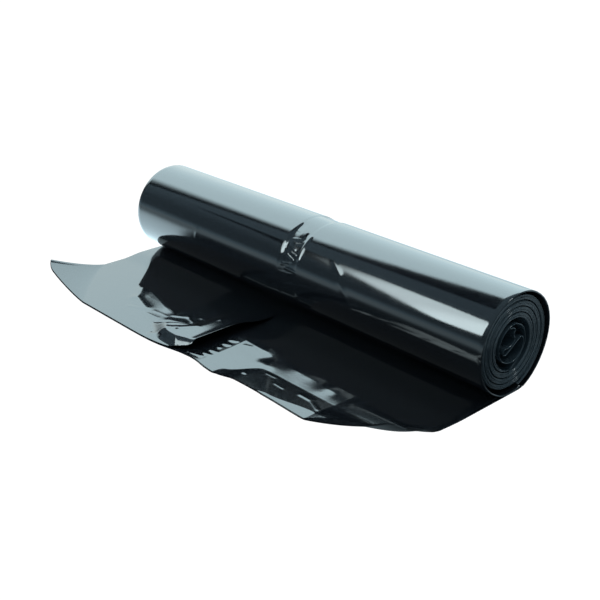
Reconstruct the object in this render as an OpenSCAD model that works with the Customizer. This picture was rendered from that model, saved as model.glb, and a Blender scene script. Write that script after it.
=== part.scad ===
// Roll of black bin bags, wound from one folded film without a core.
// The outer bag is loose and its free end lies forward on the ground.
// X runs along the roll, the free end points to -Y, and Z = 0 is the ground.

/* [Roll] */
// Length of the roll, the width of a folded bag
roll_len = 350; // [250:5:450]
// Radius of the hollow left in the middle of the wound film
hollow_r = 14.8; // [12:0.2:20]
// Turns that show in the tightly wound part
tight_turns = 4; // [2:1:6]
// Step from one turn to the next along a radius
turn_pitch = 3.8; // [3.2:0.1:5]
// Dark gap between two turns of the tight part
turn_gap = 0.7; // [0.4:0.1:1]
// How far the first tight turn lies inside the ends of the loose turn
end_recess = 1.4; // [0.5:0.1:4]
// How far each further turn lies inside the one around it
turn_recess = 0.5; // [0.2:0.1:1.5]

/* [Film] */
// Thickness of the loose folded bag, with the air between its plies
sheet_t = 0.7; // [0.5:0.1:0.9]
// Extra thickness of the left side, which is folded over on top
left_ply_t = 0.5; // [0.4:0.1:0.8]
// Extra thickness of the right side, which is folded in too
right_ply_t = 0.3; // [0.1:0.1:0.4]
// Room between the free end and the turn that lies on it
lay_gap = 0.3; // [0.2:0.1:0.6]

/* [Free end] */
// Reach of the left half of the free end in front of the roll's axis
free_len = 121.5; // [100:0.5:200]
// How much shorter the right half is
edge_slant = 4; // [0:0.5:12]
// How far the torn edge draws back where the two sides meet
edge_notch = 4; // [0:0.5:12]
// How far it stands out beside that place
edge_bulge = 1.5; // [0:0.5:6]
// How far the torn edge draws back at its two tips
tip_cut = 5; // [0:0.5:10]
// Height of the left corner's curled tip
left_curl_h = 17.5; // [0:0.5:30]
// Length of the left curl along the roll
left_curl_x = 48; // [20:1:60]
// Length of the left curl across the roll
left_curl_y = 49; // [20:1:60]
// Height of the right corner's curled tip
right_curl_h = 21; // [0:0.5:30]
// Length of the right curl along the roll
right_curl_x = 61; // [20:1:80]
// Length of the right curl across the roll
right_curl_y = 52; // [20:1:60]
// Height of the soft wave in the front strip of the right half
wave_h = 1.2; // [0:0.1:3]
// Where the soft wave begins along the roll
wave_x = 30; // [10:1:60]

/* [Lifted side] */
// Width of the stretch of the left side that stands off the bag
lift_w = 58; // [45:1:80]
// Height of its free edge
lift_h = 6.5; // [2:0.5:12]
// Width of the slope up to that height
lift_rise = 30; // [20:1:34]
// How far the slope shifts towards the free edge on its way to the front
lift_skew = 20; // [0:1:22]
// Room under it where it lies lowest
lift_gap = 0.15; // [0.1:0.05:0.3]
// Width of its rounded front corner
corner_w = 36; // [20:1:44]
// Depth of its rounded front corner
corner_d = 14; // [5:1:30]

/* [Seam band] */
// Left limit of the sunken band where the two folded sides meet
band_left = -3.5; // [-10:0.5:0]
// Right limit of the sunken band
band_right = 14; // [10:0.5:20]
// Width of the slope at each edge of a fold
fold_w = 1; // [0.6:0.1:1.5]
// Depth of the sunken band
band_depth = 0.7; // [0.2:0.1:1]
// Height of the puckers across the band
pucker_h = 0.35; // [0:0.05:0.6]
// How far the left half stands out past the right half
half_rise = 0.35; // [0:0.05:0.6]

/* [Hidden] */

half_len = roll_len / 2;
band_t = turn_pitch - turn_gap;
start_r = hollow_r + band_t + turn_pitch * (tight_turns + 1);
// The roll sinks on its own free end until only the lay gap is left
axis_h = start_r - turn_pitch + sheet_t + left_ply_t + lay_gap;
// Reach of the soft bend between the flat spot and the round of the roll
bend_soft = 1.6;

// Winding angles count from the bottom towards the back, the top and the front
full_turn = 360;
tight_end = full_turn * (tight_turns + 1);
taper_a = 40;
thin_a = 80;
// The loose turn's inner end sits inside the tight part's first stretch
join_a = 8;
join_inset = 0.2;
join_margin = 0.4;
loose_rows = 50;
turn_steps = 48;
// Where the seam band fades in behind the roll and out under it
fade_in = [30, 50];
fade_out = [325, 345];

function ramp(v, from, to) =
    let (t = max(0, min(1, (v - from) / (to - from))))
    t * t * (3 - 2 * t);
function mix(a, b, t) = a + (b - a) * t;
function soft_min(a, b, reach) =
    let (h = max(reach - abs(a - b), 0) / reach)
    min(a, b) - h * h * reach / 4;

// Radius of the film's outer face at winding angle a, round and then with its flat spot
function wind_r(a) = start_r - turn_pitch * a / full_turn;
function ground_r(a) = a < 80 ? axis_h / cos(a) : 2 * start_r;
function outer_r(a) = soft_min(wind_r(a), ground_r(a), bend_soft);
function on_wind(r, a) = [r * sin(a), axis_h - r * cos(a)];

// Places of the sheet's columns along the roll, close together at the ends, the lifted edge and the band
lift_x = band_left - lift_w;
corner_share = [0, 0.05, 0.13, 0.24, 0.38, 0.56, 0.78, 1];
middle_share = [0.3, 0.65];
right_share = [0, 0.03, 0.08, 0.14, 0.22, 0.33, 0.46, 0.62, 0.78, 0.86, 0.93, 1];
columns = concat(
    [for (s = corner_share) mix(-half_len, lift_x, s)],
    [lift_x + fold_w],
    [for (s = middle_share) mix(lift_x + fold_w, band_left - fold_w / 2, s)],
    [band_left - fold_w / 2, band_left + fold_w / 2, mix(band_left, band_right, 0.35),
     mix(band_left, band_right, 0.65), band_right - fold_w / 2, band_right + fold_w / 2],
    [for (i = [len(right_share) - 2 : -1 : 0]) mix(half_len, band_right + fold_w / 2, right_share[i])]
);

// Torn edge of the free end: slanted, with a notch and a bulge beside the seam and two rounded tips
slant_x = 60;
notch_x = -3;
notch_w = 20;
bulge_x = 30;
bulge_w = 18;
tip_w = 12;
function bell(v, at, width) = exp(-pow((v - at) / width, 2));
function reach(x) =
    free_len - edge_slant * ramp(x, -slant_x, slant_x) - edge_notch * bell(x, notch_x, notch_w)
    + edge_bulge * bell(x, bulge_x, bulge_w) - tip_cut * pow(max(0, (abs(x) - half_len) / tip_w + 1), 2);

// Place under the roll where the lifted stretch begins
lift_y = -start_r * 0.7;

// Fold of the bag on its inner face: thick on both sides, thin between them and under the lifted stretch
function band_slope(x, at) = ramp(x, at - fold_w / 2, at + fold_w / 2);
function left_ply(x, y) =
    left_ply_t * (1 - band_slope(x, band_left))
    * (1 - ramp(x, lift_x, lift_x + fold_w) * ramp(-y, -lift_y, fold_w - lift_y));
function right_ply(x) = right_ply_t * band_slope(x, band_right);
function plies(x, y) = left_ply(x, y) + right_ply(x);

// Depth of the outer face below the plain round, at x and winding angle a
function in_band(x) = band_slope(x, band_left) * (1 - band_slope(x, band_right));
function pucker(x, a) = pucker_h * sin(a * 17 + x * 40) * cos(a * 23 - x * 25);
function fade(a) = ramp(a, fade_in[0], fade_in[1]) * (1 - ramp(a, fade_out[0], fade_out[1]));
function dip(x, a) =
    fade(a) * (in_band(x) * (band_depth + pucker(x, a)) + half_rise * ramp(x, band_left, band_right));

// Free end: curled corners and the soft wave
function curl(from_tip, y, high, along, across) =
    let (u = 1 - pow(max(0, from_tip) / along, 0.8) - (free_len - edge_slant + y) / across)
    u > 0 ? high * pow(u, 1.3) : 0;
function wave(x, y) = wave_h * ramp(-y, free_len * 0.8, free_len) * ramp(x, wave_x, wave_x * 2);
function tail_z(x, y) =
    curl(half_len + x, y, left_curl_h, left_curl_x, left_curl_y)
    + curl(half_len - x, y, right_curl_h, right_curl_x, right_curl_y) + wave(x, y);

// Rows of the free end, with two at the place where the lifted stretch begins
front_rows = 16;
back_rows = 4;
tail_rows = front_rows + back_rows;
function tail_y(x, i) =
    i < front_rows ? mix(-reach(x), lift_y - fold_w, i / (front_rows - 1))
    : mix(lift_y, 0, (i - front_rows) / back_rows);

// A point of the loose sheet at column x and row i, on its outer face or on its inner face
function tail_point(x, i, inner) =
    let (y = tail_y(x, i))
    [x, y, tail_z(x, y) + (inner ? sheet_t + plies(x, y) : 0)];
function loose_a(i) = (i - tail_rows) * (full_turn + join_a) / loose_rows;
function loose_point(x, i, inner) =
    let (
        a = loose_a(i),
        hold = 1 - ramp(a, fade_out[0], fade_out[1]),
        inset = join_inset * ramp(a, full_turn - 2 * join_a, full_turn - 1),
        r = outer_r(a) - dip(x, a) - inset - (inner ? sheet_t + plies(x, 0) * hold : 0)
    )
    concat([x], on_wind(r, a));
function sheet_point(x, i, inner) =
    i < tail_rows ? tail_point(x, i, inner) : loose_point(x, i, inner);

// A closed sheet from the grids of points on its two faces, each with the same rows and columns
module sheet(lower, upper, rows, cols) {
    n = rows * cols;
    faces = [for (i = [0 : rows - 2]) for (j = [0 : cols - 2]) let (k = i * cols + j)
        each [[k, k + 1, k + cols + 1], [k, k + cols + 1, k + cols],
              [n + k, n + k + cols + 1, n + k + 1], [n + k, n + k + cols, n + k + cols + 1]]];
    front = [for (j = [0 : cols - 2]) each [[j, n + j + 1, j + 1], [j, n + j, n + j + 1]]];
    back = [for (j = [0 : cols - 2]) let (k = (rows - 1) * cols + j)
        each [[k, k + 1, n + k + 1], [k, n + k + 1, n + k]]];
    left = [for (i = [0 : rows - 2]) let (k = i * cols) each [[k, n + k + cols, n + k], [k, k + cols, n + k + cols]]];
    right = [for (i = [1 : rows - 1]) let (k = i * cols - 1)
        each [[k, n + k, n + k + cols], [k, n + k + cols, k + cols]]];
    polyhedron(points = concat(lower, upper), faces = concat(faces, front, back, left, right));
}

module loose_sheet() {
    rows = tail_rows + loose_rows + 1;
    lower = [for (i = [0 : rows - 1]) for (x = columns) sheet_point(x, i, false)];
    upper = [for (i = [0 : rows - 1]) for (x = columns) sheet_point(x, i, true)];
    sheet(lower, upper, rows, len(columns));
}

// Lifted stretch of the left side: its root and its back end sit inside the thick part of the sheet
lift_root = 2;
lift_cols = 12;
lift_rows = 16;
edge_back = 0.5;
root_flat = 0.5;
root_rise = 4;
lift_right = band_left - fold_w;
root_x = lift_x + fold_w + root_flat;
root_y = lift_y - fold_w - root_flat;
function lift_reach(x) =
    reach(x) - edge_back - corner_d * pow(max(0, (x - lift_right) / corner_w + 1), 2.5);
function lift_col(j) =
    j == 0 ? lift_x - lift_root
    : j == 1 ? root_x
    : mix(root_x + root_rise, lift_right, (j - 2) / (lift_cols - 2));
function lift_row(x, i) =
    i == lift_rows ? lift_y + lift_root
    : i == lift_rows - 1 ? root_y
    : mix(-lift_reach(x), root_y - root_rise, i / (lift_rows - 2));
lift_front = free_len * 0.64;
function lift_from(y) = root_x + lift_skew * ramp(-y, lift_front, free_len);
function lift(x, y) =
    lift_h * ramp(x, lift_from(y), lift_from(y) + lift_rise) * ramp(-y, -root_y, lift_front);
function lift_point(i, j, upper) =
    let (
        x = lift_col(j),
        y = lift_row(x, i),
        free = ramp(x, root_x, root_x + root_rise) * ramp(-y, -root_y, root_rise - root_y),
        top = left_ply_t + mix(-lift_gap, lift_gap, free)
    )
    [x, y, tail_z(x, y) + lift(x, y) + sheet_t + (upper ? top : lift_gap)];

module lifted_side() {
    lower = [for (i = [0 : lift_rows]) for (j = [0 : lift_cols]) lift_point(i, j, false)];
    upper = [for (i = [0 : lift_rows]) for (j = [0 : lift_cols]) lift_point(i, j, true)];
    sheet(lower, upper, lift_rows + 1, lift_cols + 1);
}

// Tight part: one long strip, thin where the loose turn enters it and thin again at its inner end
function strip_t(a) =
    let (grow = ramp(a, full_turn, full_turn + taper_a), shrink = ramp(a, tight_end - thin_a, tight_end))
    mix(mix(sheet_t + join_margin, band_t, grow), sheet_t, shrink);
function strip_centre(a) = on_wind(wind_r(a) - strip_t(a) / 2, a);

// The film's inner end stands crumpled in the hollow, given as shares of the hollow's radius
crumple = [
    [0.38, -1.08], [0.8, -0.82], [1.04, -0.42], [1.06, -0.02], [0.8, 0.14], [0.36, -0.02], [-0.26, -0.3],
    [-0.56, -0.38], [-0.67, -0.25], [-0.56, -0.11], [-0.26, -0.11], [0.04, -0.02], [0.16, 0.18],
    [0.07, 0.48], [0.16, 0.7], [0, 0.86], [-0.3, 0.94]
];
crumple_steps = 6;
function spline(p, i, t) =
    let (
        a = p[max(i - 1, 0)],
        b = p[i],
        c = p[i + 1],
        d = p[min(i + 2, len(p) - 1)]
    )
    0.5 * (2 * b + (c - a) * t + (2 * a - 5 * b + 4 * c - d) * t * t + (3 * b - a - 3 * c + d) * t * t * t);

module tight_wind() {
    wound = [for (i = [0 : tight_turns * turn_steps]) full_turn * (1 + i / turn_steps)];
    knots = concat(
        [strip_centre(tight_end)],
        [for (p = crumple) [p[0] * hollow_r, axis_h + p[1] * hollow_r]]
    );
    inside = [for (i = [0 : len(knots) - 2]) for (k = [1 : crumple_steps]) spline(knots, i, k / crumple_steps)];
    line = concat([for (a = wound) strip_centre(a)], inside);
    wide = concat([for (a = wound) strip_t(a)], [for (p = inside) sheet_t]);
    last = len(line) - 1;
    side = [for (i = [0 : last])
        let (d = line[min(i + 1, last)] - line[max(i - 1, 0)])
        [-d[1], d[0]] / norm(d) * wide[i] / 2];
    // Each turn is shorter than the one around it, and the inner end goes with the last
    for (turn = [0 : tight_turns - 1]) {
        from = turn * turn_steps;
        to = turn == tight_turns - 1 ? last : from + turn_steps;
        recess = end_recess + turn * turn_recess;
        translate([recess - half_len, 0, 0])
            rotate([90, 0, 90])
                linear_extrude(height = roll_len - 2 * recess)
                    polygon(concat(
                        [for (i = [from : to]) line[i] + side[i]],
                        [for (i = [to : -1 : from]) line[i] - side[i]]
                    ));
    }
}

module bag_roll() {
    color([0.07, 0.08, 0.09]) union() {
        loose_sheet();
        lifted_side();
        tight_wind();
    }
}

bag_roll();
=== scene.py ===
"""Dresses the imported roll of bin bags: glossy film, folded sides, wound ends and a white studio."""
from collections import namedtuple
from types import SimpleNamespace

import bpy
import numpy as np
from bpy.props import FloatProperty, FloatVectorProperty, IntProperty
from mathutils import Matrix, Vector


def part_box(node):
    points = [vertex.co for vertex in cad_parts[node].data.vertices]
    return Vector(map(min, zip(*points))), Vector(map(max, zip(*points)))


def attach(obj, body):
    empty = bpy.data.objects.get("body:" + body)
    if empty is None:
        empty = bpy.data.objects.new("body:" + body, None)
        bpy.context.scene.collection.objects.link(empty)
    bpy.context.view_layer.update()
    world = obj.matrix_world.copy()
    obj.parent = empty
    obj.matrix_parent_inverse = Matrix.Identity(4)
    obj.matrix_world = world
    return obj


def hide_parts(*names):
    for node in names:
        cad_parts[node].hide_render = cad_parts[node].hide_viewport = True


bl_info = {
    "name": "Bin bag roll",
    "version": (1, 0, 0),
    "blender": (4, 5, 0),
    "location": "View3D > Sidebar > Bag Roll",
    "description": "Film, folds and wound ends of a roll of bin bags, with its white studio",
    "category": "Object",
}

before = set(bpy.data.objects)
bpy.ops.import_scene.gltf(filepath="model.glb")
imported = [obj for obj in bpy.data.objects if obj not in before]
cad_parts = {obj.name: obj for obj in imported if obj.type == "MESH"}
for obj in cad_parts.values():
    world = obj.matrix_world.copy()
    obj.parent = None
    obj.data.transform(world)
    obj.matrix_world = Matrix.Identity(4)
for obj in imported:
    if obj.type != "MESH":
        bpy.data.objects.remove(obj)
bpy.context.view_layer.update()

NODE = "bag_roll"
MM = 0.001


def length(name, about, mm):
    """A length that a user can change, given in millimetres."""
    return FloatProperty(name=name, description=about, default=mm * MM, min=0.0, unit="LENGTH", precision=5)


def share(name, about, value):
    """A plain number from 0 up."""
    return FloatProperty(name=name, description=about, default=value, min=0.0)


def tint(name, about, colour):
    """A colour in linear values."""
    return FloatVectorProperty(name=name, description=about, default=colour, subtype="COLOR", min=0.0, max=1.0)


def offset(name, about, mm):
    """A place along the roll, on either side of its middle, in millimetres."""
    return FloatProperty(name=name, description=about, default=mm * MM, unit="LENGTH", precision=5)


class RollSizes(bpy.types.PropertyGroup):
    """Sizes of the loose outer turn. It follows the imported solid."""

    turn_pitch: length("Turn pitch", "Step from one turn to the next", 3.8)
    bend: length("Soft bend", "Bend beside the flat spot", 1.6)
    turn_film: length("Turn thickness", "Thickness of the loose turn", 0.9)
    half_rise: length("Left half rise", "How far the left half stands out past the right one", 0.35)
    band_left: offset("Band left", "Left limit of the seam band", -3.5)
    band_right: offset("Band right", "Right limit of the seam band", 14)
    band_slope: length("Band slope", "Width of the slopes beside the seam band", 3.5)
    band_top: length("Band depth on top", "Depth of the seam band on top of the roll", 0.25)
    band_back: length("Band depth behind", "Depth of the seam band behind the top", 0.7)
    band_front: length("Front furrow", "Depth of the furrow at the left of the seam band, on the roll's front", 0.45)
    near_end: length("Near end", "How far the loose turn's near end stands out past the solid", 1.2)
    tuck: length("Tuck", "How far the loose turn's inner end is tucked in", 0.25)


class EndSizes(bpy.types.PropertyGroup):
    """Sizes of the free end that lies on the ground."""

    slant: length("Edge slant", "How much shorter the right half is", 4)
    notch: length("Edge notch", "How far the torn edge draws back where the two sides meet", 4)
    bulge: length("Edge bulge", "How far the torn edge stands out beside the notch", 1.5)
    tip_cut: length("Tip cut", "How far the torn edge draws back at its two tips", 5)
    base_t: length("Base thickness", "Thickness of the two plies underneath", 0.6)
    left_t: length("Left side thickness", "Thickness of the folded left side", 0.4)
    right_t: length("Right side thickness", "Thickness of the folded right side", 0.3)
    ply_gap: length("Air between plies", "Room between two plies", 0.12)
    least_gap: length("Least gap", "Room that is left between two plies under a furrow", 0.03)
    side_inset: length("Side inset", "How far the sides' torn edge lies behind the base's", 0.5)
    side_back: offset("Side end", "Where the sides end under the roll", -12)
    hem_rise: length("Rise under the roll", "How far the sides rise off the base under the roll", 1.6)
    left_curl_h: length("Left curl", "Height of the left corner's tip", 17.5)
    left_curl_x: length("Left curl along", "Length of the left curl along the roll", 48)
    left_curl_y: length("Left curl across", "Length of the left curl across the roll", 49)
    right_curl_h: length("Right curl", "Height of the right corner's tip", 21)
    right_curl_x: length("Right curl along", "Length of the right curl along the roll", 61)
    right_curl_y: length("Right curl across", "Length of the right curl across the roll", 52)
    wave_rise: share("Front wave", "Slope of the soft wave in the front strip", 0.085)
    wave_x: offset("Wave start", "Where the soft wave begins along the roll", 30)
    comb_rise: share("Middle rise", "Slope of the film beside the right side's inner edge", 0.08)
    comb_w: length("Middle rise width", "Width of the slope beside the right side's inner edge", 16)
    fold_x: offset("Fold", "Where the film turns up towards the right corner", 115)
    fold_w: length("Fold width", "Length in which the rise past the fold fades", 25)
    lift_h: length("Lifted edge", "Height of the left side's free edge", 6.5)
    lift_w: length("Lifted width", "Width of the part of the left side that stands off", 54)
    lift_rise: length("Lift slope", "Width of the slope up to the lifted edge", 20)
    lift_skew: length("Lift skew", "How far the slope shifts towards the free edge at the front", 20)
    corner_w: length("Rounded corner width", "Width of the left side's rounded corner", 24)
    corner_d: length("Rounded corner depth", "Depth of the left side's rounded corner", 6)


class WoundSizes(bpy.types.PropertyGroup):
    """Sizes of the tightly wound turns and of the crumpled inner end."""

    turns: IntProperty(name="Turns", description="Turns that show in the tight part", default=4, min=1, max=8)
    plies: IntProperty(name="Plies", description="Plies of film in each turn", default=6, min=1, max=12)
    ply_film: length("Ply thickness", "Thickness of each ply", 0.34)
    ply_pitch: length("Ply pitch", "Step from one ply to the next", 0.5)
    steps: IntProperty(name="Steps", description="Steps along each ply", default=300, min=50, max=600)
    entry_step: share("Entry step", "Degrees from the start of one ply to the start of the next", 8)
    exit_step: share("Exit step", "Degrees from the end of one ply to the end of the next", 16)
    ragged: length("Raggedness", "How far the plies stray from the plain winding", 0.6)
    hollow_r: length("Hollow radius", "Radius of the hollow in the middle", 14.8)
    core_film: length("Inner end thickness", "Thickness of the crumpled inner end", 0.5)
    core_y: length("Inner end sway", "How far the inner end sways forward and back along the roll", 1.6)
    core_z: length("Inner end rise", "How far the inner end sways up and down along the roll", 1.3)
    end_recess: length("End recess", "How far the tight part lies inside the loose turn", 0.8)
    turn_recess: length("Turn recess", "How far each turn lies inside the one around it", 0.1)
    wander: length("End wander", "How far the plies' ends wander", 0.5)
    seed: IntProperty(name="Seed", description="Seed of the plies' wander", default=4)


class Finish(bpy.types.PropertyGroup):
    """Colours and gloss of the film."""

    film: tint("Film", "Colour of the black film", (0.0035, 0.004, 0.005))
    # Painted sheen: the cut ends and the crumpled inner end take this lighter copy of the black film, standing in for
    # the grey sheen that light gives the packed ply edges
    wound: tint("Wound film", "Colour of the film's cut ends", (0.02, 0.027, 0.032))
    roughness: share("Roughness", "Roughness of the glossy film", 0.1)
    crease: length("Crease depth", "Depth of the fine creases", 0.05)
    grain: length("Grain depth", "Depth of the finest unevenness", 0.006)


class Studio(bpy.types.PropertyGroup):
    """Camera and lights of the studio."""

    lens: FloatProperty(name="Lens", description="Focal length", default=60.154, min=1.0, unit="CAMERA")
    wall: share("Wall light", "Brightness of the big wall of light", 1.0)
    card: share("Card light", "Brightness of the softbox in front", 11.5)
    top: share("Top light", "Brightness of the small light above the near end", 30.0)
    floor: share("Floor light", "Brightness of the lit floor", 1.08)
    air: share("Surround", "Brightness of the surround", 1.0)
    shade: share("Shades", "Brightness of the dark cards over the free end", 0.04)
    light_tint: tint("Light tint", "Colour of the wall of light", (0.71, 0.93, 1.0))
    low_tint: tint("Low light tint", "Colour of the wall of light near the floor", (0.8, 0.97, 1.0))
    floor_tint: tint("Floor tint", "Colour of the floor in reflections", (0.68, 0.9, 1.0))
    air_tint: tint("Surround tint", "Colour of the surround", (0.55, 0.83, 1.0))
    card_tint: tint("Card tint", "Colour of the softbox in front", (0.79, 0.96, 1.0))
    top_tint: tint("Top tint", "Colour of the small light above the near end", (0.85, 0.97, 1.0))
    shade_tint: tint("Shade tint", "Colour of the dark cards", (0.8, 0.95, 1.0))


# A ridge along a line, or a furrow where its height is below 0, in millimetres
Crease = namedtuple("Crease", "x0 y0 x1 y1 wide height")

# A crest from x0, y0 to x1, y1 with soft ends, with a long rise behind it and a hollow fall in front
Crest = namedtuple("Crest", "x0 y0 x1 y1 soft back fall height")

# On the loose turn, with y as degrees up from the roll's front
TURN_CREASES = [
    Crease(-1.5, 36, 2.5, 31.5, 1.2, 0.14),
    Crease(14.6, 28, 14.4, 58, 1.3, 0.32),
    Crease(11.2, 53, 10.6, 60, 1.4, -0.2),
    Crease(1, 49, 8, 51.5, 0.7, 0.14),
    Crease(4, 45.5, 12, 48.5, 0.7, 0.14),
    Crease(-2, 62, 2, 61, 0.8, 0.12),
    Crease(2, 20, 9, 23, 0.9, 0.2),
    Crease(-2, 5, 5, 7.5, 0.9, 0.25),
    Crease(5, 13, 14, 12, 1.2, 0.25),
    Crease(3, 29, 10, 25, 0.8, 0.2),
    Crease(0, 16, 6, 18, 0.8, 0.2),
    Crease(6, 7, 12, 9, 0.8, 0.2),
    Crease(2, 40, 8, 37, 0.8, 0.16),
    Crease(5, 33, 11, 31, 0.7, 0.14),
    Crease(45, 42, 54, 30.5, 2.0, 0.22),
    Crease(57, 21, 70, -3, 1.8, 0.12),
    Crease(-97.5, 3, -96.5, 15, 1.3, 0.1),
]
# On the left side's top face
LEFT_CREASES = [
    Crease(-113, -75, -103, -87, 4, 0.3),
    Crease(-103, -88, -82, -93, 4, 0.28),
    Crease(-93, -100, -86, -97, 1.8, 0.1),
    Crease(-73, -91.5, -60, -90, 1.4, 0.05),
    Crease(-76, -98, -62, -96.5, 1.4, 0.05),
    Crease(-60, -103, -46, -106, 0.8, 0.04),
    Crease(-57, -86, -48, -80, 1.6, 0.14),
    Crease(-48, -80, -35, -83.5, 1.6, 0.14),
    Crease(-53, -93, -42, -88.5, 2.8, 0.35),
    Crease(-43, -115, -28, -104.5, 2.4, 0.5),
    Crease(-28, -104.5, -20, -93, 2.4, 0.5),
    Crease(-50, -68, -45, -66, 1.8, 0.16),
    Crease(-40, -74, -33, -73, 1.8, 0.17),
    Crease(-21, -76, -18, -74, 1.8, 0.2),
    Crease(-3, -64, -3, -108, 4, 1.0),
]
LEFT_CRESTS = [Crest(-104, -73, -66, -84, 6, 15, 11, 0.4)]
# On the right side's top face
RIGHT_CREASES = [
    Crease(44, -88.5, 48, -88.5, 5.5, 0.42),
    Crease(47, -107, 48.5, -107, 1.3, 0.4),
    Crease(57, -95.5, 65, -95, 1.2, 0.13),
    Crease(71, -101, 79, -101.5, 1.2, 0.14),
    Crease(92, -98.5, 101, -98.5, 2.0, 0.24),
    Crease(104, -100, 113, -104, 1.5, 0.16),
    Crease(17, -81, 22, -79.5, 1.2, 0.1),
    Crease(0, -83.5, 9, -81, 1.3, 0.35),
    Crease(1, -89.5, 9, -88, 1.3, 0.35),
    Crease(0, -94.5, 7, -94.5, 1.2, 0.3),
    Crease(-7, -101.5, 11, -100.5, 1.4, 0.42),
    Crease(-7, -106.5, 10, -106.5, 1.3, 0.42),
    Crease(-6, -112, 8, -111, 1.3, 0.35),
    Crease(-3, -42.5, 4, -41.5, 0.9, 0.45),
    Crease(4, -41.5, 11, -45, 0.9, 0.4),
]
RIGHT_CRESTS = [
    Crest(-8, -75, 38, -77, 6, 28, 26, 1.2),
    Crest(60, -79.5, 84, -79.5, 9, 15, 14, 0.42),
    Crest(94, -81, 103, -81, 5, 15, 12, 0.42),
]


def in_mm(group):
    """The group's values, with its lengths in millimetres."""
    values = {}
    for key, kind in group.bl_rna.properties.items():
        if kind.type in {"FLOAT", "INT"}:
            value = getattr(group, key)
            values[key] = value / MM if kind.unit == "LENGTH" else value
    return SimpleNamespace(**values)


def roll_sizes(scene):
    """The sizes of the loose turn and of the free end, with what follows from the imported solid's box."""
    low, high = (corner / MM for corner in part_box(NODE))
    size = SimpleNamespace(**vars(in_mm(scene.bag_roll_sizes)), **vars(in_mm(scene.bag_end_sizes)))
    size.half_len = (high.x - low.x) / 2
    size.start_r = high.y + size.turn_pitch / 4
    size.axis_h = high.z - size.start_r + size.turn_pitch / 2
    size.free_len = -low.y
    return size


def ramp(value, start, end):
    """0 before start, 1 after end, with a soft step between them."""
    t = np.clip((value - start) / (end - start), 0, 1)
    return t * t * (3 - 2 * t)


def bell(value, centre, width):
    """1 at the centre, and a third of it a width away."""
    return np.exp(-(((value - centre) / width) ** 2))


def crease_height(creases, x, y):
    """Height of all the creases at x, y."""
    total = np.zeros(np.broadcast(x, y).shape)
    for c in creases:
        dx, dy = c.x1 - c.x0, c.y1 - c.y0
        t = np.clip(((x - c.x0) * dx + (y - c.y0) * dy) / (dx**2 + dy**2), 0, 1)
        away = np.hypot(x - c.x0 - t * dx, y - c.y0 - t * dy)
        total = total + c.height * bell(away, 0, c.wide)
    return total


def crest_height(crests, x, y):
    """Height of all the crests at x, y."""
    total = np.zeros(np.broadcast(x, y).shape)
    for c in crests:
        line = c.y0 + (c.y1 - c.y0) * np.clip((x - c.x0) / (c.x1 - c.x0), 0, 1)
        ahead = line - y
        wide = ramp(x, c.x0 - c.soft, c.x0 + c.soft) * (1 - ramp(x, c.x1 - c.soft, c.x1 + c.soft))
        front = (1 - np.clip(ahead / c.fall, 0, 1)) ** 2
        total = total + c.height * wide * np.where(ahead > 0, front, ramp(ahead, -c.back, 0))
    return total


def joined(*runs):
    """Places along runs of start, end and count, as one rising list without doubles."""
    return np.unique(np.round(np.concatenate([np.linspace(*run) for run in runs]), 4))


def wind_r(size, a):
    """Radius of the film's outer face at winding angle a, from the bottom to the back, top and front."""
    return size.start_r - size.turn_pitch * a / 360


def outer_r(size, a):
    """The round of the loose turn with its flat spot on the ground, which ends well before winding angle 80."""
    flat = np.where(a < 80, size.axis_h / np.cos(np.radians(np.minimum(a, 80))), 2 * size.start_r)
    round_r = wind_r(size, a)
    overlap = np.maximum(size.bend - np.abs(round_r - flat), 0) / size.bend
    return np.minimum(round_r, flat) - overlap**2 * size.bend / 4


def on_wind(size, r, a):
    """Y and Z of the point at radius r and winding angle a."""
    angle = np.radians(a)
    return r * np.sin(angle), size.axis_h - r * np.cos(angle)


def turn_relief(size, x, a):
    """Height of the loose turn's outer face against the plain round."""
    # The band fades out where the turn meets the ground and where it runs in under itself
    fade = ramp(a, 30, 50) * (1 - ramp(a, 325, 345))
    # Degrees up from the roll's front
    up = 270 - a
    behind = ramp(up, 90, 115)
    slope = size.band_slope * (1 - 0.6 * behind)
    sunken = ramp(x, size.band_left - slope / 2, size.band_left + slope / 2)
    sunken = sunken * (1 - ramp(x, size.band_right - slope / 2, size.band_right + slope / 2))
    depth = size.band_top + (size.band_back - size.band_top) * behind
    furrow = size.band_front * ramp(x, -3.6, -0.8) * (1 - ramp(x, -0.8, 6))
    furrow = furrow * ramp(up, 26, 34) * (1 - ramp(up, 70, 78))
    step = size.half_rise * ramp(x, size.band_left, size.band_right)
    arc = np.radians(size.start_r)
    folds = [Crease(c.x0, c.y0 * arc, c.x1, c.y1 * arc, c.wide, c.height) for c in TURN_CREASES]
    return crease_height(folds, x, up * arc) - fade * (sunken * depth + step + furrow)


def reach(size, x):
    """How far the torn edge lies in front of the axis, with its slant, tips, notch and bulge."""
    tip = np.maximum((np.abs(x) - size.half_len) / 12 + 1, 0)
    edge = size.free_len - size.slant * ramp(x, -60, 60) - size.tip_cut * tip**2
    return edge - size.notch * bell(x, -3, 20) + size.bulge * bell(x, 30, 18)


def curl(size, from_tip, y, high, along, across):
    """Height of a curled corner at a distance from its tip along the roll."""
    flat = size.free_len - size.slant
    share_up = 1 - (np.maximum(from_tip, 0) / along) ** 0.8 - (flat + y) / across
    return high * np.maximum(share_up, 0) ** 1.3


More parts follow.
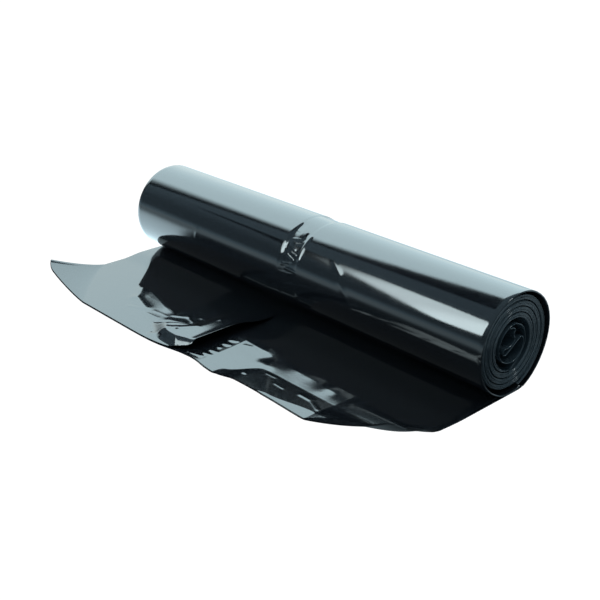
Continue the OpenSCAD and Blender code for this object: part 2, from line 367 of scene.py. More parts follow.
def tail_z(size, x, y):
    """Height of the free end's underside: the soft wave, the fold, the rise in the middle and the curled corners."""
    # Where the wave begins and ends, from the axis forward
    start = 0.76 * size.free_len + 18 * (1 - ramp(x, 33, 52))
    end = 0.98 * size.free_len - 4 * ramp(x, 66, 80) - 7 * ramp(x, 80, size.fold_x)
    ahead = np.clip(np.minimum(-y, end) - start, 0, None)
    wave = (size.wave_rise * ahead + 0.001 * ahead**2) * ramp(x, size.wave_x, size.wave_x + 5)
    steep = 0.09 + 0.06 * ramp(-y, 94, 106)
    past = np.maximum(x - size.fold_x, 0)
    fold = steep * size.fold_w * (1 - np.exp(-past / size.fold_w)) * ramp(-y, 70, 84)
    comb = size.comb_rise * np.clip(x - size.band_left, 0, size.comb_w) * ramp(-y, 45, 72)
    left = curl(size, size.half_len + x, y, size.left_curl_h, size.left_curl_x, size.left_curl_y)
    right = curl(size, size.half_len - x, y, size.right_curl_h, size.right_curl_x, size.right_curl_y)
    return wave + fold + comb + left + right


def lift(size, x, y):
    """How far the left side stands off the bag beside its free edge."""
    front = 0.64 * size.free_len
    # The slope up to the free edge shifts to the left towards the front, and back at the rounded corner
    skew = 1 - ramp(-y, 86, 104) + 0.6 * ramp(-y, 104, 114)
    start = size.band_left - size.lift_w + size.lift_skew * skew
    # The lifted edge comes down again at the front
    falls = 104 + 0.35 * (size.band_left - x)
    droop = 1 - 0.95 * np.maximum(ramp(-y, falls, falls + 11), ramp(-y, 110, 118))
    return size.lift_h * droop * ramp(x, start, start + size.lift_rise) * ramp(-y, 0.7 * size.start_r, front)


# Angles at which the points of a sheet's round side edge lie
RIM = np.radians([-50, 0, 50])


def placed(name, data):
    """A new object in the scene."""
    piece = bpy.data.objects.new(name, data)
    bpy.context.scene.collection.objects.link(piece)
    return piece


def closed_film(name, lower, upper, path):
    """A closed sheet of film from its two faces, both grids of rows by columns in millimetres, with round side edges.

    Its UV map gives the place along the roll and along the film, in metres.
    """
    out_left = lower[:, :1] - lower[:, 1:2]
    out_right = lower[:, -1:] - lower[:, -2:-1]

    def rims(outward, first, last):
        """Points of the round side edge from the first face to the last."""
        outward = outward / np.linalg.norm(outward, axis=2, keepdims=True)
        thick = np.linalg.norm(last - first, axis=2, keepdims=True)
        return [(first + last) / 2 + outward * thick / 2 * np.cos(t) + (last - first) / 2 * np.sin(t) for t in RIM]

    # Each row is one ring of points: the lower face, the right edge, the upper face backwards and the left edge
    right = rims(out_right, lower[:, -1:], upper[:, -1:])
    left = rims(out_left, upper[:, :1], lower[:, :1])
    ring = np.concatenate([lower, *right, upper[:, ::-1], *left], axis=1)
    rows, around = ring.shape[:2]
    cols = lower.shape[1]
    place = np.arange(rows * around).reshape(rows, around)
    after = np.roll(place, -1, axis=1)
    quads = np.stack([place[:-1], place[1:], after[1:], after[:-1]], axis=-1).reshape(-1, 4)
    # The first and last rows are closed with quads between the faces and a small face in each side edge
    first_upper = cols + len(RIM)
    step = np.arange(cols - 1)
    caps = []
    for row, turned in ((0, False), (rows - 1, True)):
        low = place[row, :cols]
        high = place[row, first_upper : first_upper + cols][::-1]
        cap = np.stack([low[step], low[step + 1], high[step + 1], high[step]], axis=-1)
        ends = [
            [low[-1], *place[row, cols:first_upper], high[-1]],
            [high[0], *place[row, first_upper + cols :], low[0]],
        ]
        faces = cap.tolist() + [list(map(int, end)) for end in ends]
        caps += [face[::-1] for face in faces] if turned else faces
    mesh = bpy.data.meshes.new(name)
    mesh.from_pydata((ring.reshape(-1, 3) * MM).tolist(), [], quads.tolist() + caps)
    mesh.validate()
    along = np.repeat(path, around) * MM
    uv = mesh.uv_layers.new(name="film")
    corner = np.zeros(len(mesh.loops), np.int32)
    mesh.loops.foreach_get("vertex_index", corner)
    flat = np.stack([ring.reshape(-1, 3)[corner, 0] * MM, along[corner]], axis=1)
    uv.data.foreach_set("uv", flat.astype(np.float32).ravel())
    mesh.shade_smooth()
    mesh.set_sharp_from_angle(angle=np.radians(50))
    return placed(name, mesh)


def finish_piece(piece, material):
    """Gives the piece its material and its body, and hides the imported solid that it stands for."""
    if material.name not in piece.data.materials:
        piece.data.materials.clear()
        piece.data.materials.append(material)
    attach(piece, "root")
    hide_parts("bag_roll")
    return piece


def node_group(name, inputs, outputs):
    """An empty shader group with its named sockets."""
    group = bpy.data.node_groups.new(name, "ShaderNodeTree")
    for label, kind, value in inputs:
        socket = group.interface.new_socket(label, in_out="INPUT", socket_type=kind)
        if value is not None:
            socket.default_value = value
    for label, kind in outputs:
        group.interface.new_socket(label, in_out="OUTPUT", socket_type=kind)
    return group, group.nodes.new("NodeGroupInput"), group.nodes.new("NodeGroupOutput")


def feed(tree, socket, value):
    """Links another socket to an input socket, or gives it a plain value."""
    if isinstance(value, bpy.types.NodeSocket):
        tree.links.new(value, socket)
    else:
        socket.default_value = value


def node(tree, kind, settings=None, **inputs):
    """A new node with its settings, and with its inputs fed by their names, where _ stands for a blank."""
    made = tree.nodes.new(kind)
    for key, value in (settings or {}).items():
        setattr(made, key, value)
    for label, value in inputs.items():
        feed(tree, made.inputs[label.replace("_", " ")], value)
    return made


def noise(tree, vector, scale, detail, rough=0.5, stretch=None):
    """A noise texture on the given coordinates, stretched along an axis where asked."""
    if stretch:
        vector = node(tree, "ShaderNodeMapping", Vector=vector, Scale=stretch).outputs["Vector"]
    return node(tree, "ShaderNodeTexNoise", Vector=vector, Scale=scale, Detail=detail, Roughness=rough).outputs["Fac"]


def math(tree, kind, first, second=0.0):
    """One Math node on two sockets or numbers."""
    made = node(tree, "ShaderNodeMath", {"operation": kind})
    feed(tree, made.inputs[0], first)
    feed(tree, made.inputs[1], second)
    return made.outputs[0]


def combined(tree, x=0.0, y=0.0, z=0.0):
    """A vector of three sockets or numbers."""
    return node(tree, "ShaderNodeCombineXYZ", X=x, Y=y, Z=z).outputs[0]


# How fine the film's relief is, in repeats to the metre
RIPPLES, CREASES, GRAIN, PATCHES = 22.0, 120.0, 1500.0, 60.0


def film_relief_group():
    """Heights and roughness of handled film: slack ripples, short creases and a fine grain."""
    group, ins, outs = node_group(
        "film_relief",
        [
            ("Vector", "NodeSocketVector", None),
            ("Ripple", "NodeSocketFloat", 0.0001),
            ("Crease", "NodeSocketFloat", 0.00005),
            ("Grain", "NodeSocketFloat", 0.000005),
            ("Roughness", "NodeSocketFloat", 0.1),
        ],
        [("Height", "NodeSocketFloat"), ("Roughness", "NodeSocketFloat")],
    )
    vector = ins.outputs["Vector"]
    ripple = noise(group, vector, RIPPLES, 2.0, 0.5, (1.0, 2.2, 1.0))
    crease = noise(group, vector, CREASES, 4.0, 0.6, (1.0, 2.0, 1.0))
    ridge = math(group, "ABSOLUTE", math(group, "SUBTRACT", crease, 0.5))
    grain = noise(group, vector, GRAIN, 2.0, 0.6)
    height = math(group, "MULTIPLY", ripple, ins.outputs["Ripple"])
    height = math(group, "ADD", height, math(group, "MULTIPLY", ridge, ins.outputs["Crease"]))
    height = math(group, "ADD", height, math(group, "MULTIPLY", grain, ins.outputs["Grain"]))
    patches = math(group, "MULTIPLY", noise(group, vector, PATCHES, 3.0, 0.6), 0.8)
    rough = math(group, "MULTIPLY", ins.outputs["Roughness"], math(group, "ADD", patches, 0.6))
    group.links.new(height, outs.inputs["Height"])
    group.links.new(rough, outs.inputs["Roughness"])
    return group


def film_material(name, finish, colour, ripple=0.0, crease=1.0, rough=1.0):
    """Glossy black film with its relief from the shared group.

    Ripple is a height in millimetres. Crease and rough are shares of the finish's own values.
    """
    material = bpy.data.materials.new(name)
    material.use_nodes = True
    tree = material.node_tree
    group = bpy.data.node_groups.get("film_relief") or film_relief_group()
    relief = node(tree, "ShaderNodeGroup", {"node_tree": group})
    values = {
        "Vector": tree.nodes.new("ShaderNodeTexCoord").outputs["Object"],
        "Ripple": ripple * MM,
        "Crease": finish.crease * crease,
        "Grain": finish.grain,
        "Roughness": finish.roughness * rough,
    }
    for label, value in values.items():
        feed(tree, relief.inputs[label], value)
    bump = node(tree, "ShaderNodeBump", Distance=1.0, Height=relief.outputs["Height"])
    shader = tree.nodes["Principled BSDF"]
    shader.inputs["Base Color"].default_value = (*colour, 1.0)
    shader.inputs["IOR"].default_value = 1.5
    tree.links.new(relief.outputs["Roughness"], shader.inputs["Roughness"])
    tree.links.new(bump.outputs["Normal"], shader.inputs["Normal"])
    return material


class OBJECT_OT_bag_outer(bpy.types.Operator):
    """Make the outer bag: the loose turn and the base of its free end."""

    bl_idname = "object.bag_outer"
    bl_label = "Outer Bag"

    def execute(self, context):
        scene = context.scene
        size = roll_sizes(scene)
        finish = scene.bag_finish
        half = size.half_len
        left = (-half, -103, 26), (-103, -91, 10), (-91, -8, 34)
        cols = joined(*left, (-8, 20, 66), (20, 42, 12), (42, 74, 28), (74, half, 30))
        tail_t = joined((0, 0.5, 40), (0.5, 1, 10))[:-1]
        angles = joined((0, 150, 20), (150, 205, 24), (205, 262, 66), (262, 300, 20), (300, 376, 18))
        x = cols[None, :]
        t = tail_t[:, None]
        y = -reach(size, x) * (1 - t)
        under = tail_z(size, x, y)
        full = np.broadcast_to(x, y.shape)
        lower_tail = np.stack([full, y, under], axis=-1)
        upper_tail = np.stack([full, y, under + size.base_t], axis=-1)
        a = angles[:, None]
        thick = size.turn_film + (size.base_t - size.turn_film) * (1 - ramp(a, 0, 60))
        r = outer_r(size, a) + turn_relief(size, x, a) - size.tuck * ramp(a, 350, 362)
        full = x + size.near_end * ramp(x, half - 20, half) * ramp(a, 60, 130)
        lower_turn = np.stack([full, *on_wind(size, r, a)], axis=-1)
        upper_turn = np.stack([full, *on_wind(size, r - thick, a)], axis=-1)
        path = np.concatenate([tail_t * size.free_len, size.free_len + np.radians(angles) * size.start_r])
        lower = np.concatenate([lower_tail, lower_turn])
        upper = np.concatenate([upper_tail, upper_turn])
        material = film_material("film_outer", finish, finish.film, ripple=0.05, crease=0.3)
        finish_piece(closed_film("outer_bag", lower, upper, path), material)
        return {"FINISHED"}


class OBJECT_OT_bag_sides(bpy.types.Operator):
    """Make the two folded sides that lie on the free end."""

    bl_idname = "object.bag_sides"
    bl_label = "Folded Sides"

    def execute(self, context):
        size = roll_sizes(context.scene)
        finish = context.scene.bag_finish
        material = film_material("film_side", finish, finish.film, ripple=0.1, crease=0.5)
        edge = size.band_left - 1

        x = joined((-size.half_len, -130, 30), (-130, edge, 160))[None, :]
        rounded = size.corner_d * np.maximum((x - edge) / size.corner_w + 1, 0) ** 2.5
        y = self.rows(size, x, rounded)
        relief = lift(size, x, y) + crease_height(LEFT_CREASES, x, y) + crest_height(LEFT_CRESTS, x, y)
        self.film("left_side", size, x, y, relief, size.left_t, material)

        x = joined((edge, 20, 50), (20, 120, 120), (120, size.half_len, 30))[None, :]
        y = self.rows(size, x, 0)
        relief = crease_height(RIGHT_CREASES, x, y) + crest_height(RIGHT_CRESTS, x, y)
        self.film("right_side", size, x, y, relief, size.right_t, material)
        return {"FINISHED"}

    def rows(self, size, x, rounded):
        """Rows from the torn edge, drawn back by rounded, to the end under the roll."""
        front = reach(size, x) - size.side_inset - rounded
        return -front + (front + size.side_back) * joined((0, 0.6, 110), (0.6, 1, 14))[:, None]

    def film(self, name, size, x, y, relief, thick, material):
        """A side on the base, with its relief on top of the room between the two."""
        relief = relief + size.hem_rise * ramp(y, -52, -32)
        low = tail_z(size, x, y) + size.base_t + np.maximum(size.ply_gap + relief, size.least_gap)
        full = np.broadcast_to(x, y.shape)
        lower = np.stack([full, y, low], axis=-1)
        upper = np.stack([full, y, low + thick], axis=-1)
        finish_piece(closed_film(name, lower, upper, y.mean(axis=1) - y.min()), material)


def wound_tree(material, values):
    """Geometry Nodes: plies of film along one winding, with an input for each of the values."""
    tree = bpy.data.node_groups.new("wound_plies", "GeometryNodeTree")
    tree.interface.new_socket("Geometry", in_out="OUTPUT", socket_type="NodeSocketGeometry")
    for label, value in values.items():
        kind = "NodeSocketInt" if isinstance(value, int) else "NodeSocketFloat"
        tree.interface.new_socket(label, in_out="INPUT", socket_type=kind).default_value = value
    port, outs = tree.nodes.new("NodeGroupInput").outputs, tree.nodes.new("NodeGroupOutput")

    def make(kind, settings=None, **inputs):
        """A geometry node of this tree."""
        return node(tree, "GeometryNode" + kind, settings, **inputs)

    def calc(kind, first, second=0.0):
        """A Math node of this tree."""
        return math(tree, kind, first, second)

    def wobble(scale, x, y, z):
        """Soft noise around 0 at a place."""
        return calc("SUBTRACT", noise(tree, combined(tree, x, y, z), scale, 1.0), 0.5)

    # A line for each ply, laid round the winding
    line = make("CurvePrimitiveLine").outputs["Curve"]
    line = make("ResampleCurve", Curve=line, Count=port["Steps"]).outputs["Curve"]
    copies = make("DuplicateElements", {"domain": "SPLINE"}, Geometry=line, Amount=port["Plies"])
    along = make("SplineParameter").outputs["Factor"]
    ply = copies.outputs["Duplicate Index"]
    first = calc("ADD", port["Start Angle"], calc("MULTIPLY", ply, port["Entry Step"]))
    final = calc("ADD", port["Start Angle"], calc("MULTIPLY", port["Turns"], 360.0))
    final = calc("SUBTRACT", final, calc("MULTIPLY", ply, port["Exit Step"]))
    angle = calc("ADD", first, calc("MULTIPLY", calc("SUBTRACT", final, first), along))
    turn = calc("DIVIDE", angle, 360.0)
    bearing = calc("MULTIPLY", turn, 2 * np.pi)
    around = (calc("COSINE", bearing), calc("SINE", bearing))
    ragged = wobble(1.3, *around, calc("ADD", calc("MULTIPLY", turn, 0.9), port["Seed"]))
    radius = calc("SUBTRACT", port["Start Radius"], calc("MULTIPLY", turn, port["Turn Pitch"]))
    radius = calc("SUBTRACT", radius, calc("MULTIPLY", calc("ADD", ply, 0.4), port["Ply Pitch"]))
    radius = calc("ADD", radius, calc("MULTIPLY", ragged, port["Raggedness"]))
    across = calc("MULTIPLY", radius, around[1])
    up = calc("SUBTRACT", port["Axis Height"], calc("MULTIPLY", radius, around[0]))
    place = make("SetPosition", Geometry=copies.outputs["Geometry"], Position=combined(tree, across, up))
    wound = place.outputs["Geometry"]
    for label, value in (("turn", turn), ("ply", ply)):
        wound = make("StoreNamedAttribute", Geometry=wound, Name=label, Value=value).outputs["Geometry"]
    wound = make("SetCurveNormal", {"mode": "Z_UP"}, Curve=wound).outputs["Curve"]

    # The film's section, swept along each line
    section = make("CurvePrimitiveQuadrilateral", Width=port["Film"], Height=port["Length"]).outputs["Curve"]
    corner = calc("MULTIPLY", port["Film"], 0.45)
    section = make("FilletCurve", {"mode": "POLY"}, Curve=section, Count=2, Radius=corner).outputs["Curve"]
    sweep = make("CurveToMesh", Curve=wound, Profile_Curve=section, Fill_Caps=True).outputs["Mesh"]

    def kept(label):
        """A value that was stored on the lines."""
        return make("InputNamedAttribute", Name=label).outputs["Attribute"]

    # Each turn's ends lie deeper than those of the one around it, and wander
    split = node(tree, "ShaderNodeSeparateXYZ", Vector=make("InputPosition").outputs[0])
    side = calc("SIGN", split.outputs["Z"])
    deeper = calc("MULTIPLY", calc("SUBTRACT", kept("turn"), 1.0), port["Turn Recess"])
    inward = calc("ADD", port["End Recess"], deeper)
    drift = wobble(900.0, split.outputs["X"], split.outputs["Y"], calc("MULTIPLY", side, 0.1))
    loose = wobble(3.1, kept("ply"), calc("MULTIPLY", kept("turn"), 1.7), calc("ADD", side, port["Seed"]))
    jitter = calc("MULTIPLY", calc("ADD", calc("MULTIPLY", drift, 0.5), calc("MULTIPLY", loose, 2.5)), port["Wander"])
    inward = calc("MAXIMUM", calc("ADD", inward, jitter), 0.0002)
    shift = calc("MULTIPLY", calc("MULTIPLY", side, inward), -1.0)
    sweep = make("SetPosition", Geometry=sweep, Offset=combined(tree, z=shift)).outputs["Geometry"]

    # Turned to lie along the roll
    laid = make("Transform", Geometry=sweep, Rotation=(np.pi / 2, 0.0, np.pi / 2)).outputs["Geometry"]
    laid = make("SetShadeSmooth", Geometry=laid).outputs["Geometry"]
    laid = make("RealizeInstances", Geometry=laid).outputs["Geometry"]
    laid = make("SetMaterial", Geometry=laid, Material=material).outputs["Geometry"]
    tree.links.new(laid, outs.inputs["Geometry"])
    return tree


def from_nodes(name, tree, values):
    """The plain mesh that a Geometry Nodes tree makes with the given input values."""
    carrier = placed(name + "_carrier", bpy.data.meshes.new(name + "_carrier"))
    modifier = carrier.modifiers.new("nodes", "NODES")
    modifier.node_group = tree
    sockets = {item.name: item.identifier for item in tree.interface.items_tree if item.in_out == "INPUT"}
    for label, value in values.items():
        modifier[sockets[label]] = value
    bpy.context.view_layer.update()
    evaluated = carrier.evaluated_get(bpy.context.evaluated_depsgraph_get())
    mesh = bpy.data.meshes.new_from_object(evaluated)
    mesh.name = name
    carrier.modifiers.remove(modifier)
    bpy.data.objects.remove(carrier)
    return placed(name, mesh)


class OBJECT_OT_bag_turns(bpy.types.Operator):
    """Make the tightly wound turns, ply by ply."""

    bl_idname = "object.bag_turns"
    bl_label = "Wound Turns"

    def execute(self, context):
        scene = context.scene
        roll = roll_sizes(scene)
        wound = scene.bag_wound_sizes
        finish = scene.bag_finish
        # The tight turns take the lighter end colour: painted sheen on the cut ends
        material = film_material("film_wound_sheen", finish, finish.wound, crease=0.2, rough=1.6)
        values = {
            "Turns": float(wound.turns),
            "Plies": wound.plies,
            "Steps": wound.steps,
            "Start Angle": 360.0,
            "Entry Step": wound.entry_step,
            "Exit Step": wound.exit_step,
            "Start Radius": roll.start_r * MM,
            "Turn Pitch": roll.turn_pitch * MM,
            "Ply Pitch": wound.ply_pitch,
            "Film": wound.ply_film,
            "Axis Height": roll.axis_h * MM,
            "Length": 2 * roll.half_len * MM,
            "End Recess": wound.end_recess,
            "Turn Recess": wound.turn_recess,
            "Raggedness": wound.ragged,
            "Wander": wound.wander,
            "Seed": wound.seed,
        }
        finish_piece(from_nodes("tight_turns", wound_tree(material, values), values), material)
        return {"FINISHED"}


# The film's inner end stands crumpled in the hollow, given as shares of the hollow's radius
CRUMPLE = [
    (0.6, -0.7), (0.88, -0.12), (0.68, 0.56), (0.06, 0.88), (-0.6, 0.62), (-0.88, 0.02), (-0.62, -0.6), (0.02, -0.86),
    (0.5, -0.7), (0.74, -0.36), (0.76, 0), (0.6, 0.16), (0.3, 0.02), (-0.2, -0.28), (-0.46, -0.38), (-0.58, -0.25),
    (-0.48, -0.1), (-0.2, -0.1), (0.04, 0), (0.16, 0.18), (0.06, 0.42), (0.14, 0.6), (0, 0.72), (-0.24, 0.76),
]


def spline(points, steps):
    """A smooth line through the points."""
    p = np.array(points, float)
    p = np.concatenate([p[:1], p, p[-1:]])
    t = np.linspace(0, 1, steps, endpoint=False)[:, None]
    run = []
    for a, b, c, d in zip(p, p[1:], p[2:], p[3:]):
        run.append(0.5 * (2 * b + (c - a) * t + (2 * a - 5 * b + 4 * c - d) * t**2 + (3 * b - a - 3 * c + d) * t**3))
    return np.concatenate([*run, p[-1:]])


class OBJECT_OT_bag_inner_end(bpy.types.Operator):
    """Make the crumpled inner end of the film in the hollow."""

    bl_idname = "object.bag_inner_end"
    bl_label = "Inner End"

    def execute(self, context):
        scene = context.scene
        roll = roll_sizes(scene)
        wound = in_mm(scene.bag_wound_sizes)
        finish = scene.bag_finish
        last = 360 * (wound.turns + 1)
        start = np.array(on_wind(roll, wind_r(roll, last) - 0.35, last))
        knots = np.array(CRUMPLE) * wound.hollow_r + [0, roll.axis_h]
        line = spline(np.concatenate([start[None], knots]), 8)
        end = roll.half_len - wound.end_recess - wound.turns * wound.turn_recess
        x = joined((-end, -end + 40, 14), (-end + 40, end - 40, 24), (end - 40, end, 14))[None, :]
        loose = ramp(np.arange(len(line)), 60, 100)[:, None] * np.minimum(end - np.abs(x), 60) / 60
        y = line[:, :1] + wound.core_y * np.sin(x / 23) * loose
        z = line[:, 1:] + wound.core_z * np.cos(x / 31 + 1) * loose
        middle = np.stack([np.broadcast_to(x, y.shape), y, z], axis=-1)
        heading = np.gradient(line, axis=0)
        heading /= np.linalg.norm(heading, axis=1, keepdims=True)
        normal = np.stack([np.zeros(len(line)), -heading[:, 1], heading[:, 0]], axis=-1)[:, None, :]
        half = normal * wound.core_film / 2
        path = np.concatenate([[0], np.cumsum(np.linalg.norm(np.diff(line, axis=0), axis=1))])
        # The inner end takes the lighter end colour: painted sheen on the crumpled film
        material = film_material("film_core_sheen", finish, finish.wound, ripple=0.2, crease=2, rough=2)
        finish_piece(closed_film("inner_end", middle - half, middle + half, path), material)
        return {"FINISHED"}


def axes(tree):
    """X, Y and Z sockets of the object's own coordinates."""
    coords = tree.nodes.new("ShaderNodeTexCoord").outputs["Object"]
    return node(tree, "ShaderNodeSeparateXYZ", Vector=coords).outputs[:3]


def soft_step(tree, value, start, end, low=0.0, high=1.0):
    """A soft step of a socket's value from low at start to high at end."""
    settings = {"interpolation_type": "SMOOTHSTEP"}
    limits = {"From_Min": start, "From_Max": end, "To_Min": low, "To_Max": high}
    return node(tree, "ShaderNodeMapRange", settings, Value=value, **limits).outputs[0]


def hump(tree, value, centre, width):
    """A bell of a socket's value."""
    off = math(tree, "DIVIDE", math(tree, "SUBTRACT", value, centre), width)
    return math(tree, "EXPONENT", math(tree, "MULTIPLY", math(tree, "MULTIPLY", off, off), -1.0))


def glow(name, colour, strength_of):
    """A material that only gives light, with its strength worked out from the place."""
    material = bpy.data.materials.new(name)
    material.use_nodes = True
    tree = material.node_tree
    tree.nodes.clear()
    emission = node(tree, "ShaderNodeEmission", Color=(*colour, 1.0), Strength=strength_of(tree, *axes(tree)))
    node(tree, "ShaderNodeOutputMaterial", Surface=emission.outputs[0])
    return material


def card(name, corners, material):
    """A flat card of the studio, seen by reflections only."""
    mesh = bpy.data.meshes.new(name)
    mesh.from_pydata([tuple(v * MM for v in corner) for corner in corners], [], [tuple(range(len(corners)))])
    mesh.materials.append(material)
    piece = placed(name, mesh)
    piece.visible_camera = False
    piece.visible_shadow = False
    return piece


# Half the width of the studio's floor, and the places of its cards, in millimetres
FLOOR_HALF = 9000
SOFTBOX_Y = -500
SHADE_Z = 5
GLOW_Z = 0.2
WALL = [(-800, -250, 0), (-800, 2600, 0), (-800, 2600, 1700), (-800, -250, 1700)]
TOP = [(500, 450, 1500), (800, 450, 1500), (800, 750, 1500), (500, 750, 1500)]
# Outline of the softbox, X and Z in millimetres
SOFTBOX = [
    (-1000, 640), (-1000, 700), (-700, 680), (-585, 655), (-549, 668), (-397, 668), (-299, 645), (-250, 640),
    (-120, 560), (-90, 240), (-141, 228), (-165, 208), (-200, 190), (-600, 480), (-800, 600),
]

# Dark cards just over the free end, X and Y in millimetres: painted shade, seen only in reflections. They keep second
# reflections off the roll's dark foot
SHADES = [
    [
        (-163, -26), (-156, -39), (-142, -54), (-129, -68), (-115, -68), (-100, -70), (-80, -76), (-64, -80),
        (-64, -26),
    ],
    [(15, -68), (15, -26), (168, -26), (168, -62), (150, -71), (50, -71)],
]

# Where the camera stands and looks, in millimetres
EYE = Vector((487.6, -460.6, 306.1))
TARGET = Vector((39.34, -50.87, 34.63))


class OBJECT_OT_bag_studio(bpy.types.Operator):
    """Make the studio: pale lit floor, wall of light, softbox, top light, painted shade cards and camera."""

    bl_idname = "object.bag_studio"
    bl_label = "Studio"

    def execute(self, context):
        scene = context.scene
        studio = scene.bag_studio
        scene.view_settings.view_transform = "Standard"
        self.surround(scene, studio)
        self.floor(studio)
        self.wall(studio)
        self.softbox(studio)
        self.top(studio)
        self.shades(studio)
        self.camera(scene, studio)
        return {"FINISHED"}

    def surround(self, scene, studio):
        """The surround: paler near the ground, and again high up."""
        world = bpy.data.worlds.new("surround")
        world.use_nodes = True
        tree = world.node_tree
        sky = tree.nodes["Background"]
        sky.inputs["Color"].default_value = (*studio.air_tint, 1.0)
        up = axes(tree)[2]
        low = math(tree, "MULTIPLY", soft_step(tree, up, 0.13, 0.0), 0.75)
        high = soft_step(tree, up, 0.3, 0.6, 0.31, 0.69)
        level = math(tree, "MULTIPLY", math(tree, "ADD", low, high), studio.air)
        tree.links.new(level, sky.inputs["Strength"])
        scene.world = world

    def floor(self, studio):
        """The white floor that the camera sees, with its backdrop, and the one that the film reflects, with a painted
        shadow of the roll and a painted pool of light.
        """
        far = FLOOR_HALF
        corners = [(-far, -far, 0), (far, -far, 0), (far, far, 0), (-far, far, 0)]
        white = glow("white_floor", (1.0, 1.0, 1.0), lambda tree, x, y, z: studio.floor)
        seen = [card("floor", corners, white)]
        for a, b in zip(corners, corners[1:] + corners[:1]):
            seen.append(card("backdrop", [a, b, (b[0], b[1], far), (a[0], a[1], far)], white))
        for piece in seen:
            piece.visible_camera = True
            piece.visible_glossy = False
            piece.visible_diffuse = False

        def lit(tree, x, y, z):
            # Painted light on the floor that the film reflects: a painted shadow of the roll in front of it, dimmest
            # close by, and left of its diagonal edge a painted pool of light near the free end; behind the roll it is
            # evenly bright
            ahead = soft_step(tree, y, -0.15, -0.36, 0.1, 1.2)
            side = soft_step(tree, math(tree, "SUBTRACT", x, y), -0.09, -0.115)
            near = math(tree, "ADD", math(tree, "MULTIPLY", hump(tree, y, -0.08, 0.11), 3.2), 1.1)
            fade = math(tree, "MULTIPLY", side, soft_step(tree, x, -2.0, -0.8))
            extra = math(tree, "MULTIPLY", fade, math(tree, "SUBTRACT", near, ahead))
            front = math(tree, "ADD", ahead, extra)
            front = math(tree, "MULTIPLY", front, soft_step(tree, y, 0.1, -0.02))
            return math(tree, "ADD", front, soft_step(tree, y, -0.02, 0.1, 0.0, 1.3))

        card("floor_glow", [(x, y, GLOW_Z) for x, y, _ in corners], glow("floor_light", studio.floor_tint, lit))

    def wall(self, studio):
        """The wall of light on the left, brighter towards its top and with a soft front edge."""
        def lit(tree, x, y, z):
            rise = math(tree, "ARCTAN2", z, math(tree, "ADD", y, 0.3))
            far = math(tree, "ADD", math(tree, "MULTIPLY", y, y), math(tree, "MULTIPLY", z, z))
            level = math(tree, "ADD", math(tree, "MULTIPLY", rise, 4.3), 1.44)
            level = math(tree, "MULTIPLY", level, math(tree, "POWER", far, 0.14))
            level = math(tree, "MULTIPLY", level, 1.13 * studio.wall)
            above = math(tree, "MAXIMUM", math(tree, "SUBTRACT", z, 0.85), 0.0)
            back = math(tree, "MULTIPLY", math(tree, "MULTIPLY", above, above), 1.75)
            return math(tree, "MULTIPLY", level, soft_step(tree, math(tree, "SUBTRACT", y, back), -0.21, -0.03))

        material = glow("wall_light", studio.light_tint, lit)
        tree = material.node_tree
        tints = {"A": (*studio.low_tint, 1.0), "B": (*studio.light_tint, 1.0)}
        share_up = soft_step(tree, axes(tree)[2], 0.1, 0.5)
        mix = node(tree, "ShaderNodeMix", {"data_type": "RGBA"}, Factor=share_up, **tints)
        tree.links.new(mix.outputs["Result"], tree.nodes["Emission"].inputs["Color"])
        card("wall_of_light", WALL, material)

    def softbox(self, studio):
        """The softbox in front, whose lower edge is soft."""
        def lit(tree, x, y, z):
            start = soft_step(tree, x, -0.64, -0.4, 0.0, studio.card)
            end = soft_step(tree, x, -0.3, -0.2, 0.0, 0.4 * studio.card)
            glare = soft_step(tree, x, -1.0, -0.6, 0.0, 0.25)
            across = math(tree, "SUBTRACT", -0.2, x)
            rim = math(tree, "ADD", math(tree, "MULTIPLY", across, 0.79), 0.19)
            wide = math(tree, "MAXIMUM", math(tree, "MULTIPLY", across, 0.35), 0.01)
            low = soft_step(tree, math(tree, "DIVIDE", math(tree, "SUBTRACT", z, rim), wide), 0.0, 1.0)
            level = math(tree, "ADD", math(tree, "ADD", start, end), glare)
            return math(tree, "MULTIPLY", level, low)

        card("softbox", [(x, SOFTBOX_Y, z) for x, z in SOFTBOX], glow("softbox_light", studio.card_tint, lit))

    def top(self, studio):
        """The small light above the near end."""
        card("top_light", TOP, glow("top_light", studio.top_tint, lambda tree, x, y, z: studio.top))

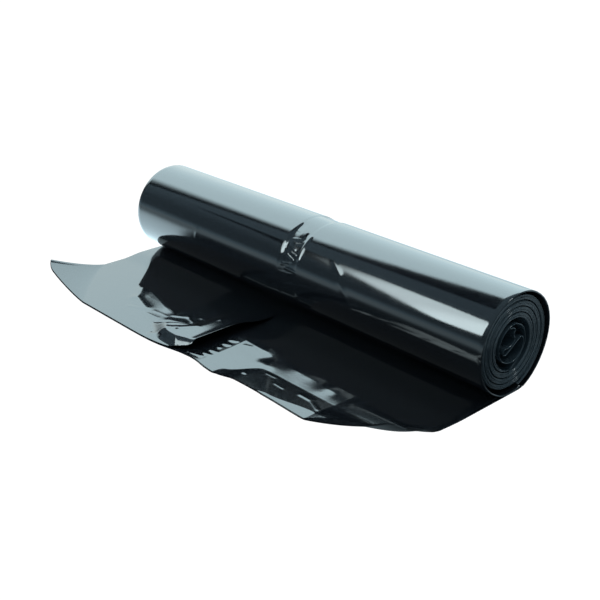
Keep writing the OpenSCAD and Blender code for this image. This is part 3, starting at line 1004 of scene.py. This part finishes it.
    def shades(self, studio):
        """The dark cards over the free end: painted shade in the film's reflections."""
        dark = glow("shade", studio.shade_tint, lambda tree, x, y, z: studio.shade)
        for outline in SHADES:
            card("shade", [(x, y, SHADE_Z) for x, y in outline], dark).visible_diffuse = False

    def camera(self, scene, studio):
        """The camera at the photo's viewing angle."""
        data = bpy.data.cameras.new("camera")
        data.lens = studio.lens
        data.sensor_width = 36.0
        data.clip_start = 0.05
        data.clip_end = 60.0
        camera = placed("camera", data)
        camera.location = EYE * MM
        camera.rotation_euler = (TARGET - EYE).to_track_quat("-Z", "Y").to_euler()
        scene.camera = camera


class VIEW3D_PT_bag_roll(bpy.types.Panel):
    """Sidebar panel with the roll's sizes and pieces."""

    bl_label = "Bag Roll"
    bl_space_type = "VIEW_3D"
    bl_region_type = "UI"
    bl_category = "Bag Roll"

    def draw(self, context):
        layout = self.layout
        for group, name in GROUPS:
            column = layout.column()
            for key in group.__annotations__:
                column.prop(getattr(context.scene, name), key)
        for operator in OPERATORS:
            layout.operator(operator.bl_idname)


GROUPS = (
    (RollSizes, "bag_roll_sizes"),
    (EndSizes, "bag_end_sizes"),
    (WoundSizes, "bag_wound_sizes"),
    (Finish, "bag_finish"),
    (Studio, "bag_studio"),
)
OPERATORS = (
    OBJECT_OT_bag_outer,
    OBJECT_OT_bag_sides,
    OBJECT_OT_bag_turns,
    OBJECT_OT_bag_inner_end,
    OBJECT_OT_bag_studio,
)


def register():
    """Registers the sizes, the operators and the panel."""
    for group, name in GROUPS:
        bpy.utils.register_class(group)
        setattr(bpy.types.Scene, name, bpy.props.PointerProperty(type=group))
    for item in (*OPERATORS, VIEW3D_PT_bag_roll):
        bpy.utils.register_class(item)


def unregister():
    """Undoes what register did."""
    for item in (VIEW3D_PT_bag_roll, *reversed(OPERATORS)):
        bpy.utils.unregister_class(item)
    for group, name in reversed(GROUPS):
        delattr(bpy.types.Scene, name)
        bpy.utils.unregister_class(group)


def main():
    """Makes the studio and every piece."""
    register()
    bpy.ops.object.bag_studio()
    bpy.ops.object.bag_outer()
    bpy.ops.object.bag_sides()
    bpy.ops.object.bag_turns()
    bpy.ops.object.bag_inner_end()


if __name__ == "__main__":
    main()
